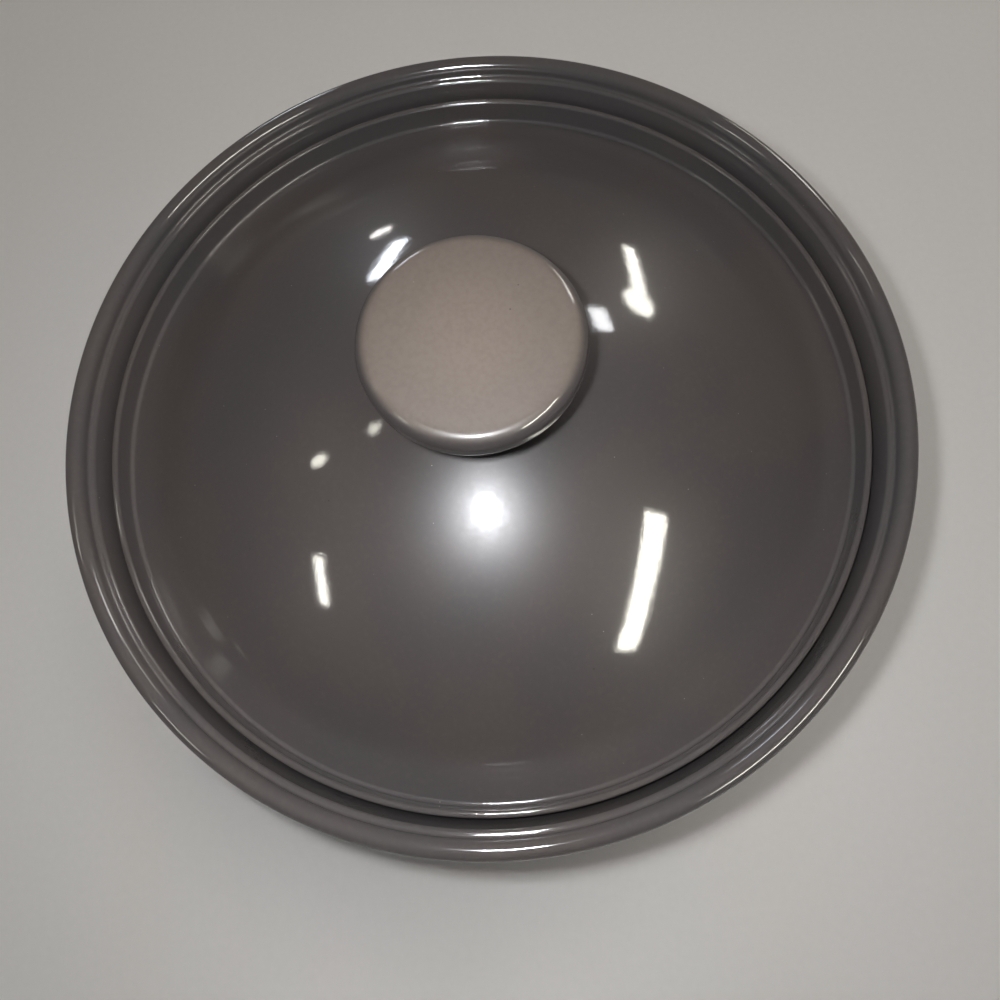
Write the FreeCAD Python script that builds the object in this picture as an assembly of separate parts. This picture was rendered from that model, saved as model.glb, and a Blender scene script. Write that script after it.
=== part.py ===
import FreeCAD, Part
import math
import os

# Round lidded casserole in glazed stoneware, in millimetres.
# The origin is the middle of the foot ring's underside and +Z is up the axis.
# Both pieces are turned forms, so each is one closed half section spun about Z.

# Dish, its rim
rim_diameter = 260.0
dish_height = 102.0
lip_thickness = 5.6
lip_depth = 8.5
lip_overhang = 2.4
step_depth = 4.6
step_round = 1.1
ledge_width = 1.9
ledge_round = 1.6
recess_depth = 24.0
recess_taper = 1.3
recess_round = 1.0
seat_width = 8.3
seat_edge_round = 2.4

# Dish, its body
wall_thickness = 7.2
wall_draft = 6.0
shoulder_drop = 3.0
shoulder_height = 26.0
shoulder_round = 45.0
body_round = 32.0
well_round = 27.0
base_thickness = 8.5

# Foot ring
foot_diameter = 162.0
foot_width = 6.0
foot_height = 3.0
foot_round = 1.2

# Lid, its edge
lid_clearance = 0.8
flange_thickness = 4.4
flange_width = 9.0
flange_round = 1.2
upstand_height = 9.3
upstand_thickness = 2.0
upstand_round = 0.9
gutter_round = 1.0

# Lid, its dome
dome_edge_slope = 26.0
dome_crown_slope = 9.0
dome_bend_radius = 60.0
dome_round = 250.0
dome_thickness = 6.0

# Knob, one piece with the lid
knob_diameter = 60.0
knob_stand = 27.0
knob_edge_thickness = 8.0
knob_edge_round = 4.0
knob_under_round = 3.2
knob_under_fall = 5.5
knob_crown = 0.7
knob_crown_radius = 15.0
knob_crown_round = 420.0
neck_diameter = 30.0
neck_top_round = 6.0
neck_foot_round = 9.0


def corner(radius, height, rounding=0.0):
    return FreeCAD.Vector(radius, 0, height), rounding


def half_section(corners):
    """Close the corners into a face, each corner rounded as far as its two sides allow."""
    points = [point for point, rounding in corners]
    count = len(points)
    sides = [points[(i + 1) % count] - points[i] for i in range(count)]
    turns = [sides[i - 1].getAngle(sides[i]) for i in range(count)]
    setbacks = [corners[i][1] * math.tan(turns[i] / 2) for i in range(count)]
    limits = [1.0] * count
    for i in range(count):
        following = (i + 1) % count
        wanted = setbacks[i] + setbacks[following]
        if wanted > sides[i].Length:
            share = sides[i].Length / wanted
            limits[i] = min(limits[i], share)
            limits[following] = min(limits[following], share)

    edges = []
    ends = []
    for i in range(count):
        setback = setbacks[i] * limits[i]
        back = FreeCAD.Vector(sides[i - 1]).normalize()
        ahead = FreeCAD.Vector(sides[i]).normalize()
        start = points[i] - back * setback
        finish = points[i] + ahead * setback
        arc = None
        if setback > 0:
            inward = (ahead - back).normalize()
            bite = setback * math.tan(turns[i] / 4)
            arc = Part.Arc(start, points[i] + inward * bite, finish).toShape()
        ends.append((start, finish, arc))
    for i in range(count):
        start, finish, arc = ends[i]
        if arc:
            edges.append(arc)
        next_start = ends[(i + 1) % count][0]
        if finish.distanceToPoint(next_start) > 1e-6:
            edges.append(Part.makeLine(finish, next_start))
    return Part.Face(Part.Wire(edges))


def turned(corners):
    axis_point = FreeCAD.Vector(0, 0, 0)
    axis = FreeCAD.Vector(0, 0, 1)
    return half_section(corners).revolve(axis_point, axis, 360)


# Sizes that both pieces share
rim_radius = rim_diameter / 2
lip_inner_radius = rim_radius - lip_thickness
recess_top_radius = lip_inner_radius - ledge_width
recess_foot_radius = recess_top_radius - recess_taper
opening_radius = recess_foot_radius - seat_width
seat_height = dish_height - recess_depth
lid_radius = recess_foot_radius - lid_clearance


def make_dish():
    ledge_height = dish_height - step_depth
    collar_radius = rim_radius - lip_overhang
    wall_top_radius = opening_radius + wall_thickness
    shoulder_top = seat_height - shoulder_drop
    shoulder_foot = shoulder_top - shoulder_height
    well_floor = foot_height + base_thickness
    foot_radius = foot_diameter / 2
    foot_inner_radius = foot_radius - foot_width
    lip_round = lip_thickness / 2
    corners = [
        corner(0, foot_height),
        corner(foot_inner_radius, foot_height, foot_round),
        corner(foot_inner_radius, 0, foot_round),
        corner(foot_radius, 0, foot_round),
        corner(foot_radius, foot_height, foot_round),
        corner(wall_top_radius - wall_draft, foot_height, body_round),
        corner(wall_top_radius, shoulder_foot, shoulder_round),
        corner(collar_radius, shoulder_top, shoulder_round),
        corner(collar_radius, dish_height - lip_depth, foot_round),
        corner(rim_radius, dish_height - lip_depth, lip_overhang),
        corner(rim_radius, dish_height, lip_round),
        corner(lip_inner_radius, dish_height, lip_round),
        corner(lip_inner_radius, ledge_height, step_round),
        corner(recess_top_radius, ledge_height, ledge_round),
        corner(recess_foot_radius, seat_height, recess_round),
        corner(opening_radius, seat_height, seat_edge_round),
        corner(opening_radius - wall_draft, well_floor, well_round),
        corner(0, well_floor),
    ]
    return turned(corners)


def make_lid():
    flange_top = seat_height + flange_thickness
    upstand_top = flange_top + upstand_height
    gutter_radius = lid_radius - upstand_thickness
    flange_inner_radius = lid_radius - flange_width
    neck_radius = neck_diameter / 2
    knob_radius = knob_diameter / 2
    edge_rise = math.tan(math.radians(dome_edge_slope))
    crown_rise = math.tan(math.radians(dome_crown_slope))
    bend_height = flange_top + (gutter_radius - dome_bend_radius) * edge_rise
    dome_top = bend_height + (dome_bend_radius - neck_radius) * crown_rise
    hollow_edge = flange_top + (gutter_radius - flange_inner_radius) * edge_rise - dome_thickness
    hollow_top = dome_top - dome_thickness
    knob_top = dome_top + knob_stand
    knob_shoulder = knob_top - knob_crown
    knob_under = knob_shoulder - knob_edge_thickness
    corners = [
        corner(flange_inner_radius, seat_height, flange_round),
        corner(lid_radius, seat_height, flange_round),
        corner(lid_radius, upstand_top, upstand_round),
        corner(gutter_radius, upstand_top, upstand_round),
        corner(gutter_radius, flange_top, gutter_round),
        corner(dome_bend_radius, bend_height, dome_round),
        corner(neck_radius, dome_top, neck_foot_round),
        corner(neck_radius, knob_under - knob_under_fall, neck_top_round),
        corner(knob_radius, knob_under, knob_under_round),
        corner(knob_radius, knob_shoulder, knob_edge_round),
        corner(knob_crown_radius, knob_top, knob_crown_round),
        corner(0, knob_top),
        corner(0, hollow_top),
        corner(neck_radius, hollow_top, neck_foot_round),
        corner(dome_bend_radius, bend_height - dome_thickness, dome_round),
        corner(flange_inner_radius, hollow_edge, gutter_round),
    ]
    return turned(corners)


os.makedirs("parts", exist_ok=True)
for name, shape in (("dish", make_dish()), ("lid", make_lid())):
    shape.exportStep("parts/" + name + ".step")
    print(name, "valid", shape.isValid(), "volume", round(shape.Volume), "height", shape.BoundBox.ZMax)
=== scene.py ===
import bpy
import bmesh
import math
from mathutils import Matrix, Vector


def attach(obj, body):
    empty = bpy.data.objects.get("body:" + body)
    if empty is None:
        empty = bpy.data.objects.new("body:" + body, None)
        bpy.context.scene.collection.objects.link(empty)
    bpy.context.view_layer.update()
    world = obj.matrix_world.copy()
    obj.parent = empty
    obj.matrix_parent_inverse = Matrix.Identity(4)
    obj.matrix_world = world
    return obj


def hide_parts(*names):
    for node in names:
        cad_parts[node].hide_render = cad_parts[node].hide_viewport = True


# round stoneware casserole: a dish with a rolled rim, and a domed lid with a disc knob
# lengths are in metres

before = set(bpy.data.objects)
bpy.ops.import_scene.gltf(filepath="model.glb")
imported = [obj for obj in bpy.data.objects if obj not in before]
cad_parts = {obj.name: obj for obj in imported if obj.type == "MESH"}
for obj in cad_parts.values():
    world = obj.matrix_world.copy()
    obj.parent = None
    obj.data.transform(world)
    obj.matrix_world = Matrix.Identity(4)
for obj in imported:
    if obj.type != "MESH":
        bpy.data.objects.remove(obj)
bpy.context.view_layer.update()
scene = bpy.context.scene
print("frame loaded:", ", ".join(sorted(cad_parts)))


# node helpers

# a plain value goes on the socket, another node's output is linked to it
def put(tree, socket, value):
    if isinstance(value, bpy.types.NodeSocket):
        tree.links.new(value, socket)
    else:
        socket.default_value = value


def maths(tree, operation, first, second=0.0):
    node = tree.nodes.new("ShaderNodeMath")
    node.operation = operation
    put(tree, node.inputs[0], first)
    put(tree, node.inputs[1], second)
    return node.outputs[0]


# 0 at start and 1 at end, eased; start may be the larger
def ramp(tree, value, start, end):
    node = tree.nodes.new("ShaderNodeMapRange")
    node.interpolation_type = "SMOOTHSTEP"
    put(tree, node.inputs["Value"], value)
    node.inputs["From Min"].default_value = start
    node.inputs["From Max"].default_value = end
    return node.outputs["Result"]


# a ramp that starts and ends at two distances from a mark, such as the radius of an edge
def fade(tree, value, mark, ends):
    return ramp(tree, value, mark + ends[0], mark + ends[1])


# a plain amount of 0 or 1 needs no node, so that a constant reaches the shader's own socket
def tint(tree, amount, under, over):
    if amount == 0.0:
        return under
    node = tree.nodes.new("ShaderNodeMix")
    node.data_type = "RGBA"
    put(tree, node.inputs[0], amount)
    put(tree, node.inputs[6], under)
    put(tree, node.inputs[7], over)
    return node.outputs[2]


def mixValue(tree, amount, under, over):
    if amount == 0.0 or under == over:
        return under
    if amount == 1.0:
        return over
    node = tree.nodes.new("ShaderNodeMix")
    put(tree, node.inputs[0], amount)
    put(tree, node.inputs[2], under)
    put(tree, node.inputs[3], over)
    return node.outputs[0]


# grain is the size of one blotch
def noise(tree, place, facts):
    node = tree.nodes.new("ShaderNodeTexNoise")
    node.noise_dimensions = "4D"
    put(tree, node.inputs["Vector"], place)
    node.inputs["W"].default_value = facts["seed"]
    node.inputs["Scale"].default_value = 1.0 / facts["grain"]
    node.inputs["Detail"].default_value = facts["detail"]
    return node.outputs[0]


# noise that shows from the low end of its range and reaches its strength at the high end
def blotches(tree, place, facts):
    low, high = facts["range"]
    return maths(tree, "MULTIPLY", ramp(tree, noise(tree, place, facts), low, high), facts["strength"])


def bump(tree, height, depth, under=None):
    node = tree.nodes.new("ShaderNodeBump")
    put(tree, node.inputs["Height"], height)
    node.inputs["Distance"].default_value = depth
    if under is not None:
        put(tree, node.inputs["Normal"], under)
    return node.outputs["Normal"]


# scattered dots: one in each cell of the spacing, of which only a share shows
def specks(tree, place, facts):
    moved = tree.nodes.new("ShaderNodeMapping")
    put(tree, moved.inputs["Vector"], place)
    moved.inputs["Location"].default_value = [facts["seed"] * step for step in (1, 2, 3)]
    cells = tree.nodes.new("ShaderNodeTexVoronoi")
    put(tree, cells.inputs["Vector"], moved.outputs["Vector"])
    cells.inputs["Scale"].default_value = 1.0 / facts["spacing"]
    reach = facts["size"] / facts["spacing"]
    dot = ramp(tree, cells.outputs["Distance"], reach, 0.5 * reach)
    hidden = 1.0 - facts["share"]
    chosen = ramp(tree, cells.outputs["Color"], hidden, hidden + 0.001)
    return maths(tree, "MULTIPLY", dot, chosen)


# glaze

glaze = {
    "warm": (0.078, 0.066, 0.062, 1),      # dark taupe, its brown side
    "cool": (0.068, 0.061, 0.061, 1),      # the same glaze where it lies thicker
    "thin": (0.150, 0.118, 0.092, 1),      # where it breaks over an edge
    "pooled": (0.043, 0.036, 0.035, 1),    # where it gathers in a corner
    "lightSpeck": (0.34, 0.31, 0.27, 1),
    "darkSpeck": (0.020, 0.016, 0.015, 1),
    "clay": (0.52, 0.42, 0.31, 1),         # bare stoneware
    "satinAndPaintedLight": (0.205, 0.168, 0.142, 1),      # painted light: the knob's top, made lighter for the light that falls on it, where the gloss is also worn to satin

    "body": 0.36,                          # roughness of the glaze's body
    "bodySpread": 0.12,                    # by how much it varies
    "edge": 0.85,                          # the same at the rim and the lid's edge
    "worn": 0.52,                          # where the gloss is gone
    "bare": 0.85,                          # and on bare clay
    "gloss": 0.055,                        # roughness of the fired surface
    "sheen": 0.15,                         # how much the body shines under that surface
    "rubbedOff": 0.93,                     # how much of that surface is gone where it is worn

    "cloud": {"grain": 0.055, "detail": 3.0, "seed": 0.0, "range": (0.38, 0.62), "strength": 1.0},
    "mottle": {"grain": 0.0016, "detail": 3.0, "seed": 4.0, "range": (0.45, 0.75), "strength": 0.10},
    "dullGrain": {"grain": 0.0012, "detail": 4.0, "seed": 5.0, "range": (0.35, 0.7), "strength": 0.30},
    "clayGrain": {"grain": 0.0009, "detail": 4.0, "seed": 9.0, "strength": 0.5},
    "paleDots": {"spacing": 0.0052, "size": 0.00019, "share": 0.45, "seed": 3.1, "strength": 0.8,
                 "depth": 2e-5},
    "darkDots": {"spacing": 0.0074, "size": 0.00030, "share": 0.40, "seed": 8.7, "strength": 0.6},

    "wave": {"grain": 0.013, "detail": 2.0, "seed": 1.0, "depth": 6e-6},       # slow unevenness
    "peel": {"grain": 0.0013, "detail": 2.0, "seed": 2.0, "depth": 1.1e-5},    # orange peel
    "grit": {"grain": 0.00050, "detail": 2.0, "seed": 3.0, "depth": 4.5e-6},
}


# object coordinates, the distance from the axis and the height
def surfacePlace(tree):
    place = tree.nodes.new("ShaderNodeTexCoord").outputs["Object"]
    flat = tree.nodes.new("ShaderNodeVectorMath")
    flat.operation = "MULTIPLY"
    put(tree, flat.inputs[0], place)
    flat.inputs[1].default_value = (1, 1, 0)
    away = tree.nodes.new("ShaderNodeVectorMath")
    away.operation = "LENGTH"
    put(tree, away.inputs[0], flat.outputs[0])
    split = tree.nodes.new("ShaderNodeSeparateXYZ")
    put(tree, split.inputs[0], place)
    return place, away.outputs["Value"], split.outputs["Z"]


# masks gives, from the place, the radius and the height, how thin, pooled and bare the glaze is,
# how much painted light lies on the knob's top, how dull wear has left it, and how near an edge it
# lies
def glazeMaterial(name, look, masks):
    material = bpy.data.materials.new(name)
    material.use_nodes = True
    tree = material.node_tree
    shader = tree.nodes["Principled BSDF"]
    place, radius, height = surfacePlace(tree)
    # light is painted light: where the knob's top is made lighter for the light that falls on it
    thin, pooled, bare, light, worn, edge = masks(tree, place, radius, height)

    colour = tint(tree, blotches(tree, place, look["cloud"]), look["warm"], look["cool"])
    colour = tint(tree, blotches(tree, place, look["mottle"]), colour, look["thin"])
    colour = tint(tree, pooled, colour, look["pooled"])
    colour = tint(tree, thin, colour, look["thin"])
    # painted light: the knob's top gets a lighter colour in place of the light that falls on it
    if light:
        satinAndPaintedLight = tint(tree, blotches(tree, place, look["dullGrain"]), look["satinAndPaintedLight"], look["thin"])
        colour = tint(tree, light, colour, satinAndPaintedLight)
    paleDots = specks(tree, place, look["paleDots"])
    darkDots = specks(tree, place, look["darkDots"])
    darkShown = maths(tree, "MULTIPLY", darkDots, look["darkDots"]["strength"])
    paleShown = maths(tree, "MULTIPLY", paleDots, look["paleDots"]["strength"])
    colour = tint(tree, darkShown, colour, look["darkSpeck"])
    colour = tint(tree, paleShown, colour, look["lightSpeck"])
    clayGrain = noise(tree, place, look["clayGrain"])
    clayGrain = maths(tree, "MULTIPLY", clayGrain, look["clayGrain"]["strength"])
    clay = tint(tree, clayGrain, look["clay"], look["thin"])
    put(tree, shader.inputs["Base Color"], tint(tree, bare, colour, clay))

    relief = {kind: noise(tree, place, look[kind]) for kind in ("wave", "peel", "grit")}
    relief["paleDots"] = paleDots
    spread = maths(tree, "MULTIPLY", relief["peel"], look["bodySpread"])
    rough = maths(tree, "ADD", look["body"] - look["bodySpread"] / 2, spread)
    rough = mixValue(tree, edge, rough, look["edge"])
    rough = mixValue(tree, worn, rough, look["worn"])
    put(tree, shader.inputs["Roughness"], mixValue(tree, bare, rough, look["bare"]))
    gone = maths(tree, "MAXIMUM", bare, maths(tree, "MULTIPLY", worn, look["rubbedOff"]))
    put(tree, shader.inputs["Coat Weight"], maths(tree, "SUBTRACT", 1.0, gone))
    shader.inputs["Coat Roughness"].default_value = look["gloss"]
    shader.inputs["Specular IOR Level"].default_value = look["sheen"]

    shape = None
    for kind, raised in relief.items():
        shape = bump(tree, raised, look[kind]["depth"], shape)
    put(tree, shader.inputs["Normal"], shape)
    put(tree, shader.inputs["Coat Normal"], shape)
    return material


# turned pieces: a closed half section, spun about the axis of the dish

turning = {
    "steps": 256,
    "arcStep": math.radians(6),    # widest turn between two points of an arc
    "arcLength": 0.0015,           # and the widest distance between them
    "straight": 1e-4,              # a corner that turns less than this isn't rounded
    "merge": 1e-6,                 # points nearer than this are one
}


# the sides that meet at a corner, as seen from it, and how far the outline turns there
def sidesAt(before, corner, after):
    here = Vector(corner[:2])
    back, ahead = Vector(before[:2]) - here, Vector(after[:2]) - here
    return back, ahead, math.pi - back.angle(ahead)


# points of the arc that rounds a corner
def roundCorner(before, corner, after):
    here, rounding = Vector(corner[:2]), corner[2]
    back, ahead, turn = sidesAt(before, corner, after)
    if rounding == 0 or turn < turning["straight"]:
        return [here]
    setback = rounding * math.tan(turn / 2)
    back.normalize()
    ahead.normalize()
    middle = here + (back + ahead).normalized() * rounding / math.cos(turn / 2)
    spoke = here + back * setback - middle
    side = math.copysign(1, back.cross(ahead))
    count = max(2, math.ceil(turn / turning["arcStep"]),
                math.ceil(rounding * turn / turning["arcLength"]))
    return [middle + Matrix.Rotation(-side * turn * i / count, 2) @ spoke for i in range(count + 1)]


# shares out each side between the two roundings that meet on it
def limitRoundings(corners):
    wanted = [0.0]
    for before, corner, after in zip(corners, corners[1:], corners[2:]):
        turn = sidesAt(before, corner, after)[2]
        wanted.append(corner[2] * math.tan(turn / 2))
    wanted.append(0.0)
    share = [1.0] * len(corners)
    for i in range(len(corners) - 1):
        side = (Vector(corners[i + 1][:2]) - Vector(corners[i][:2])).length
        if wanted[i] + wanted[i + 1] > side:
            fit = side / (wanted[i] + wanted[i + 1])
            share[i] = min(share[i], fit)
            share[i + 1] = min(share[i + 1], fit)
    return [(radius, height, rounding * part)
            for (radius, height, rounding), part in zip(corners, share)]


# spins the half section and puts the piece in the place of the CAD node of its name
def turnPiece(name, corners, material):
    corners = limitRoundings(corners)
    outline = [Vector(corners[0][:2])]
    for before, corner, after in zip(corners, corners[1:], corners[2:]):
        for point in roundCorner(before, corner, after):
            if (point - outline[-1]).length > turning["merge"]:
                outline.append(point)
    outline.append(Vector(corners[-1][:2]))

    shape = bmesh.new()
    ring = [shape.verts.new((point.x, 0, point.y)) for point in outline]
    edges = [shape.edges.new(pair) for pair in zip(ring, ring[1:])]
    bmesh.ops.spin(shape, geom=ring + edges, cent=(0, 0, 0), axis=(0, 0, 1), angle=math.tau,
                   steps=turning["steps"], use_merge=True)
    bmesh.ops.remove_doubles(shape, verts=shape.verts, dist=turning["merge"])
    bmesh.ops.recalc_face_normals(shape, faces=shape.faces)
    for face in shape.faces:
        face.smooth = True
    mesh = bpy.data.meshes.new(name + "Turned")
    shape.to_mesh(mesh)
    shape.free()
    piece = bpy.data.objects.new(name + "Turned", mesh)
    scene.collection.objects.link(piece)
    mesh.materials.append(material)
    weighted = piece.modifiers.new("evenShading", "WEIGHTED_NORMAL")
    weighted.mode = "FACE_AREA"
    weighted.weight = 100    # large faces lead, so the flats beside a rounding stay even
    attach(piece, "root")
    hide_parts(name)
    print("turned", name, "with", len(mesh.polygons), "faces")


# the dish

dish = {
    "rimRadius": 0.130,
    "height": 0.102,
    "lipThickness": 0.0056,
    "lipDepth": 0.0085,
    "lipOverhang": 0.0024,
    "stepDepth": 0.0046,
    "stepRound": 0.0011,
    "ledgeWidth": 0.0019,
    "ledgeRound": 0.0016,
    "recessDepth": 0.024,
    "recessTaper": 0.0013,
    "recessRound": 0.001,
    "seatWidth": 0.0083,
    "seatRound": 0.0024,
    "wall": 0.0072,
    "wallDraft": 0.006,
    "shoulderDrop": 0.003,
    "shoulderHeight": 0.026,
    "shoulderRound": 0.045,
    "bodyRound": 0.032,
    "wellRound": 0.027,
    "baseThickness": 0.0085,
    "footRadius": 0.081,
    "footWidth": 0.006,
    "footHeight": 0.003,
    "footRound": 0.0012,

    # how the glaze lies on it; a fade starts and ends at these distances from its edge
    "waver": {"grain": 0.02, "detail": 3.0, "seed": 6.0, "depth": 0.0012},    # uneven glaze edges
    "crestFade": (-0.0002, 0.0009),    # thin over the top of the lip
    "outerFade": (-0.0010, 0.0),       # and round its outer side
    "thinShare": 0.06,
    "insideFade": (0.0004, -0.0006),   # pooled inside the lip
    "poolDrop": 0.002,                 # from this far below the ledge
    "poolShare": 0.1,
    "wipedHeight": 0.0006,             # the foot ring is wiped clean of glaze up to here
    "wipedFade": (0.0005, 0.0002),
    "wipedWaver": 0.3,
}
lipInner = dish["rimRadius"] - dish["lipThickness"]
recessTop = lipInner - dish["ledgeWidth"]
recessRadius = recessTop - dish["recessTaper"]
openingRadius = recessRadius - dish["seatWidth"]
seatHeight = dish["height"] - dish["recessDepth"]
ledgeHeight = dish["height"] - dish["stepDepth"]


# radius, height and rounding of each corner, from under the foot to the middle of the well
def dishCorners():
    collar = dish["rimRadius"] - dish["lipOverhang"]
    wallTop = openingRadius + dish["wall"]
    shoulderTop = seatHeight - dish["shoulderDrop"]
    lipFoot = dish["height"] - dish["lipDepth"]
    wellFloor = dish["footHeight"] + dish["baseThickness"]
    footInner = dish["footRadius"] - dish["footWidth"]
    lipRound = dish["lipThickness"] / 2
    return [
        (0, dish["footHeight"], 0),
        (footInner, dish["footHeight"], dish["footRound"]),
        (footInner, 0, dish["footRound"]),
        (dish["footRadius"], 0, dish["footRound"]),
        (dish["footRadius"], dish["footHeight"], dish["footRound"]),
        (wallTop - dish["wallDraft"], dish["footHeight"], dish["bodyRound"]),
        (wallTop, shoulderTop - dish["shoulderHeight"], dish["shoulderRound"]),
        (collar, shoulderTop, dish["shoulderRound"]),
        (collar, lipFoot, dish["footRound"]),
        (dish["rimRadius"], lipFoot, dish["lipOverhang"]),
        (dish["rimRadius"], dish["height"], lipRound),
        (lipInner, dish["height"], lipRound),
        (lipInner, ledgeHeight, dish["stepRound"]),
        (recessTop, ledgeHeight, dish["ledgeRound"]),
        (recessRadius, seatHeight, dish["recessRound"]),
        (openingRadius, seatHeight, dish["seatRound"]),
        (openingRadius - dish["wallDraft"], wellFloor, dish["wellRound"]),
        (0, wellFloor, 0),
    ]


def dishMasks(tree, place, radius, height):
    waver = maths(tree, "MULTIPLY", noise(tree, place, dish["waver"]), dish["waver"]["depth"])
    crest = fade(tree, maths(tree, "ADD", height, waver), dish["height"], dish["crestFade"])
    outer = fade(tree, radius, dish["rimRadius"], dish["outerFade"])
    thin = maths(tree, "MULTIPLY", maths(tree, "MAXIMUM", crest, outer), dish["thinShare"])
    inside = fade(tree, radius, lipInner, dish["insideFade"])
    low = ramp(tree, height, ledgeHeight - dish["poolDrop"], seatHeight)
    pooled = maths(tree, "MULTIPLY", maths(tree, "MULTIPLY", inside, low), dish["poolShare"])
    wiped = maths(tree, "ADD", height, maths(tree, "MULTIPLY", waver, dish["wipedWaver"]))
    bare = fade(tree, wiped, dish["wipedHeight"], dish["wipedFade"])
    return thin, pooled, bare, 0.0, 0.0, 1.0


turnPiece("dish", dishCorners(), glazeMaterial("dishGlaze", glaze, dishMasks))


# the lid, with its knob

lid = {
    "clearance": 0.0008,
    "flangeThickness": 0.0044,
    "flangeWidth": 0.009,
    "flangeRound": 0.0012,
    "upstandHeight": 0.0093,
    "upstandThickness": 0.002,
    "upstandRound": 0.0009,
    "gutterRound": 0.001,
    "edgeSlope": math.radians(26),
    "crownSlope": math.radians(9),
    "bendRadius": 0.060,
    "domeRound": 0.250,
    "domeThickness": 0.006,
    "knobRadius": 0.030,
    "knobStand": 0.027,
    "knobEdgeThickness": 0.008,
    "knobEdgeRound": 0.004,
    "knobUnderRound": 0.0032,
    "knobUnderFall": 0.0055,
    "knobCrown": 0.0007,
    "knobCrownRadius": 0.015,
    "knobCrownRound": 0.420,
    "neckRadius": 0.015,
    "neckTopRound": 0.006,
    "neckFootRound": 0.009,

    # how the glaze lies on it, where it is worn, and where painted light lies on the knob
    "crestFade": (-0.0006, 0.0),           # thin at the top of the upstand
    "crestInnerFade": (-0.001, 0.0),       # from its inner side outwards
    "thinShare": 0.05,
    "gutterFade": (-0.006, 0.0),           # pooled in the gutter
    "poolShare": 0.1,
    "bareFade": (0.0008, 0.0003),          # the seating face is bare
    "paintedLightHeights": (-0.0036, -0.0012),    # painted light: the knob is lighter near its top
    "paintedLightRadii": (0.0034, 0.0006),        # and inside its edge's rounding
    "fullPaintedLightRadius": 0.004,                # most of all this near its middle
    "paintedLightAtEdge": 0.72,
    "wornHeights": (-0.0014, -0.0009),     # the flat top has lost its gloss
    "wornRadii": (0.0002, -0.0012),
    "edgeFade": (-0.016, -0.004),          # the body roughens towards the gutter
}
lidRadius = recessRadius - lid["clearance"]
gutterRadius = lidRadius - lid["upstandThickness"]
flangeTop = seatHeight + lid["flangeThickness"]
upstandTop = flangeTop + lid["upstandHeight"]
bendHeight = flangeTop + (gutterRadius - lid["bendRadius"]) * math.tan(lid["edgeSlope"])
domeTop = bendHeight + (lid["bendRadius"] - lid["neckRadius"]) * math.tan(lid["crownSlope"])
knobTop = domeTop + lid["knobStand"]


# radius, height and rounding of each corner, from the top of the hollow down under the dome
# to the flange, round the upstand and up over the dome to the knob
def lidCorners():
    flangeInner = lidRadius - lid["flangeWidth"]
    edgeRise = (gutterRadius - flangeInner) * math.tan(lid["edgeSlope"])
    hollowEdge = flangeTop + edgeRise - lid["domeThickness"]
    hollowTop = domeTop - lid["domeThickness"]
    knobShoulder = knobTop - lid["knobCrown"]
    knobUnder = knobShoulder - lid["knobEdgeThickness"]
    return [
        (0, hollowTop, 0),
        (lid["neckRadius"], hollowTop, lid["neckFootRound"]),
        (lid["bendRadius"], bendHeight - lid["domeThickness"], lid["domeRound"]),
        (flangeInner, hollowEdge, lid["gutterRound"]),
        (flangeInner, seatHeight, lid["flangeRound"]),
        (lidRadius, seatHeight, lid["flangeRound"]),
        (lidRadius, upstandTop, lid["upstandRound"]),
        (gutterRadius, upstandTop, lid["upstandRound"]),
        (gutterRadius, flangeTop, lid["gutterRound"]),
        (lid["bendRadius"], bendHeight, lid["domeRound"]),
        (lid["neckRadius"], domeTop, lid["neckFootRound"]),
        (lid["neckRadius"], knobUnder - lid["knobUnderFall"], lid["neckTopRound"]),
        (lid["knobRadius"], knobUnder, lid["knobUnderRound"]),
        (lid["knobRadius"], knobShoulder, lid["knobEdgeRound"]),
        (lid["knobCrownRadius"], knobTop, lid["knobCrownRound"]),
        (0, knobTop, 0),
    ]


def lidMasks(tree, place, radius, height):
    crest = fade(tree, height, upstandTop, lid["crestFade"])
    crest = maths(tree, "MULTIPLY", crest, fade(tree, radius, gutterRadius, lid["crestInnerFade"]))
    thin = maths(tree, "MULTIPLY", crest, lid["thinShare"])
    gutter = fade(tree, radius, gutterRadius, lid["gutterFade"])
    pooled = maths(tree, "MULTIPLY", gutter, lid["poolShare"])
    bare = fade(tree, height, seatHeight, lid["bareFade"])
    flatRadius = lid["knobRadius"] - lid["knobEdgeRound"]
    # painted light on the knob's top, strongest near its middle
    light = maths(tree, "MULTIPLY", fade(tree, height, knobTop, lid["paintedLightHeights"]),
                  fade(tree, radius, flatRadius, lid["paintedLightRadii"]))
    towardsMiddle = ramp(tree, radius, lid["knobRadius"], lid["fullPaintedLightRadius"])
    light = maths(tree, "MULTIPLY", light, mixValue(tree, towardsMiddle, lid["paintedLightAtEdge"], 1.0))
    worn = maths(tree, "MULTIPLY", fade(tree, height, knobTop, lid["wornHeights"]),
                 fade(tree, radius, flatRadius, lid["wornRadii"]))
    edge = fade(tree, radius, gutterRadius, lid["edgeFade"])
    return thin, pooled, bare, light, worn, edge


turnPiece("lid", lidCorners(), glazeMaterial("lidGlaze", glaze, lidMasks))


# floor and world

stage = {
    "size": 8.0,
    "floorColour": (0.80, 0.79, 0.77, 1),
    "floorGrain": {"grain": 0.003, "detail": 3.0, "seed": 0.0},
    "floorDarker": 0.94,       # the grain's dark side, as a share of the colour
    "floorRoughness": 0.9,
    "floorSheen": 0.2,
    "worldColour": (1.0, 1.0, 1.0, 1),
    "worldStrength": 0.09,
    "backdropStrength": 0.55,  # of what the camera sees past the floor, which lights nothing
}


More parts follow.
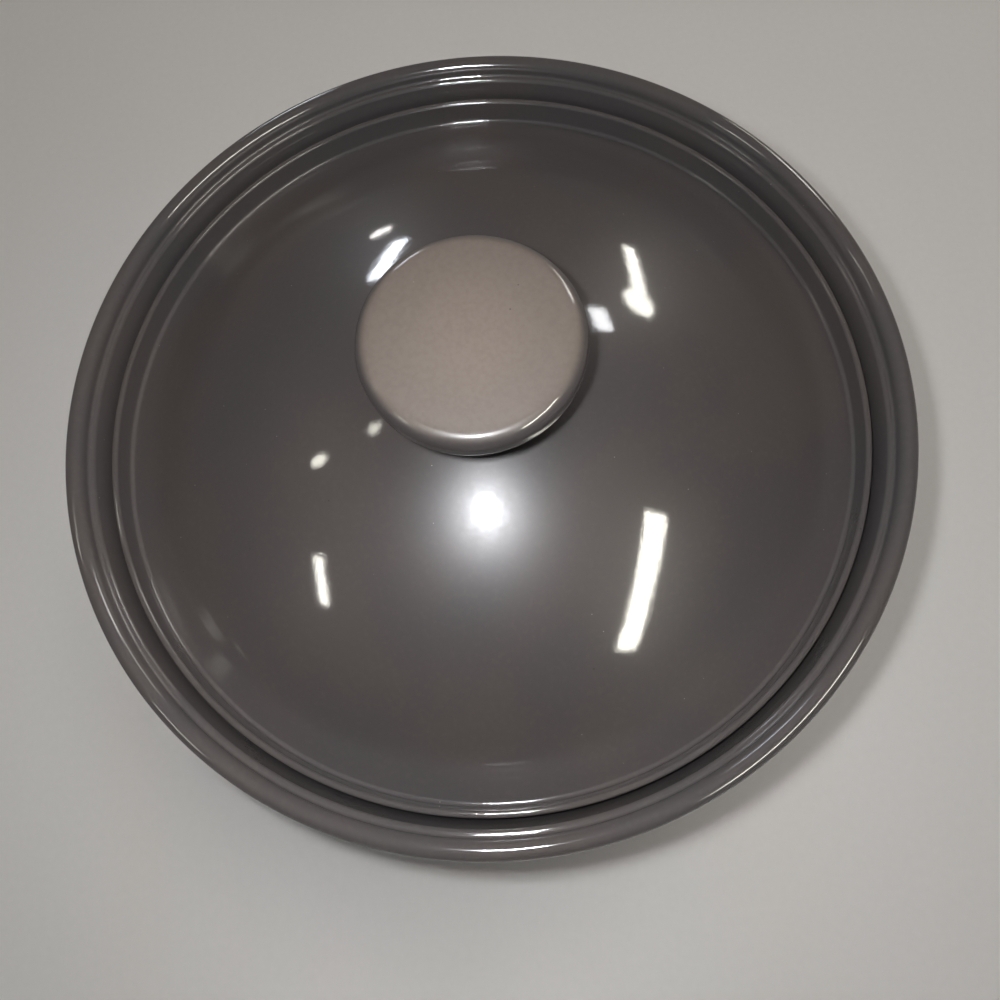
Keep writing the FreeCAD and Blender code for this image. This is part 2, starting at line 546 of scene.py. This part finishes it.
def makeFloor():
    sheet = bmesh.new()
    bmesh.ops.create_grid(sheet, x_segments=1, y_segments=1, size=stage["size"] / 2)
    mesh = bpy.data.meshes.new("floor")
    sheet.to_mesh(mesh)
    sheet.free()
    floor = bpy.data.objects.new("floor", mesh)
    scene.collection.objects.link(floor)
    material = bpy.data.materials.new("floorPaper")
    material.use_nodes = True
    tree = material.node_tree
    shader = tree.nodes["Principled BSDF"]
    shader.inputs["Roughness"].default_value = stage["floorRoughness"]
    shader.inputs["Specular IOR Level"].default_value = stage["floorSheen"]
    place = tree.nodes.new("ShaderNodeTexCoord").outputs["Object"]
    grain = noise(tree, place, stage["floorGrain"])
    darker = tuple(stage["floorDarker"] * channel for channel in stage["floorColour"][:3]) + (1,)
    put(tree, shader.inputs["Base Color"], tint(tree, grain, stage["floorColour"], darker))
    mesh.materials.append(material)


def makeWorld():
    world = bpy.data.worlds.new("studio")
    world.use_nodes = True
    tree = world.node_tree
    background = tree.nodes["Background"]
    background.inputs["Color"].default_value = stage["worldColour"]
    seen = tree.nodes.new("ShaderNodeLightPath").outputs["Is Camera Ray"]
    strength = mixValue(tree, seen, stage["worldStrength"], stage["backdropStrength"])
    put(tree, background.inputs["Strength"], strength)
    scene.world = world


makeFloor()
makeWorld()
print("floor and world ready")


# lamps: the softbox and the flash light the glaze's body, the rest are seen only in its gloss;
# a size is width by length, a turn is from +Y towards -X in degrees,
# and what isn't round is a rectangle

ceiling = 1.5
besideCamera = (-0.017, -0.075, 0.3145)
creamLight = (1.0, 0.98, 0.88)
yellowLight = (1.0, 0.98, 0.86)

lamps = {
    "softbox": {
        "place": (0.5, 0.38, ceiling), "size": (0.9, 0.9), "turn": 0,
        "glow": 2.8, "colour": (1.0, 0.94, 0.88), "seenIn": "body",
    },
    "rightTube": {
        "place": (0.955, -0.945, ceiling), "size": (0.19, 1.08), "turn": -16.7,
        "glow": 30, "colour": yellowLight, "seenIn": "gloss",
    },
    "farTube": {
        "place": (1.93, 2.28, ceiling), "size": (0.17, 1.9), "turn": -20.7,
        "glow": 17, "colour": creamLight, "seenIn": "gloss",
    },
    "farTubeEnd": {
        "place": (1.66, 1.62, ceiling), "size": (0.32, 0.48), "turn": -20.7,
        "glow": 17, "colour": creamLight, "seenIn": "gloss", "round": True,
    },
    "middleTube": {
        "place": (1.12, 1.24, ceiling), "size": (0.15, 0.30), "turn": -2,
        "glow": 17, "colour": (0.97, 0.98, 1.0), "seenIn": "gloss",
    },
    "backTube": {
        "place": (-0.78, 3.08, ceiling), "size": (0.22, 1.15), "turn": -10.7,
        "glow": 26, "colour": (0.86, 0.92, 1.0), "seenIn": "gloss",
    },
    "backSpot": {
        "place": (-1.08, 4.62, ceiling), "size": (0.40, 0.25), "turn": 41,
        "glow": 26, "colour": (1.0, 0.98, 0.95), "seenIn": "gloss", "round": True,
    },
    "leftTube": {
        "place": (-1.51, -0.485, ceiling), "size": (0.10, 0.40), "turn": -11.6,
        "glow": 26, "colour": creamLight, "seenIn": "gloss",
    },
    "leftSpot": {
        "place": (-1.33, 0.41, ceiling), "size": (0.15, 0.085), "turn": 0,
        "glow": 18, "colour": yellowLight, "seenIn": "gloss", "round": True,
    },
    "nearSpot": {
        "place": (-0.83, 0.46, ceiling), "size": (0.09, 0.09), "turn": 0,
        "glow": 12, "colour": yellowLight, "seenIn": "gloss", "round": True,
    },
    "flash": {
        "place": besideCamera, "size": (0.013, 0.013), "turn": 0,
        "glow": 560, "colour": (0.98, 0.98, 1.0), "seenIn": "body",
    },
    "flashGlint": {
        "place": besideCamera, "size": (0.018, 0.018), "turn": 0,
        "glow": 2500, "colour": (0.94, 0.96, 1.0), "seenIn": "gloss", "round": True,
    },
}


def makeLamp(name, facts):
    width, length = facts["size"]
    light = bpy.data.lights.new(name, "AREA")
    light.shape = "ELLIPSE" if facts.get("round") else "RECTANGLE"
    light.size = width
    light.size_y = length
    light.color = facts["colour"]
    face = width * length * (math.pi / 4 if facts.get("round") else 1)
    light.energy = 4.0 * face * facts["glow"]    # watts that give the lamp's face this brightness
    lamp = bpy.data.objects.new(name, light)
    lamp.location = facts["place"]
    lamp.rotation_euler = (0, 0, math.radians(facts["turn"]))
    lamp.visible_camera = False
    lamp.visible_glossy = facts["seenIn"] != "body"
    lamp.visible_diffuse = facts["seenIn"] != "gloss"
    scene.collection.objects.link(lamp)


for lampName, lampFacts in lamps.items():
    makeLamp(lampName, lampFacts)
print("lamps ready:", len(lamps))


# camera: close above the near side of the rim, turned towards the far side

view = {
    "place": (0.0, -0.0897, 0.3145),
    "tilt": 15.1,         # from straight down towards the far rim, in degrees
    "swing": -0.04,
    "roll": -9.95,
    "lens": 27.0,         # in millimetres, as is the sensor
    "sensor": 36.0,
    "nearest": 0.01,      # what is closer isn't drawn
}


def makeCamera():
    lens = bpy.data.cameras.new("camera")
    lens.lens = view["lens"]
    lens.sensor_width = view["sensor"]
    lens.clip_start = view["nearest"]
    camera = bpy.data.objects.new("camera", lens)
    camera.rotation_mode = "ZYX"
    camera.rotation_euler = [math.radians(view[turn]) for turn in ("tilt", "swing", "roll")]
    camera.location = view["place"]
    scene.collection.objects.link(camera)
    scene.camera = camera


makeCamera()
scene.view_settings.view_transform = "Standard"
print("camera ready")
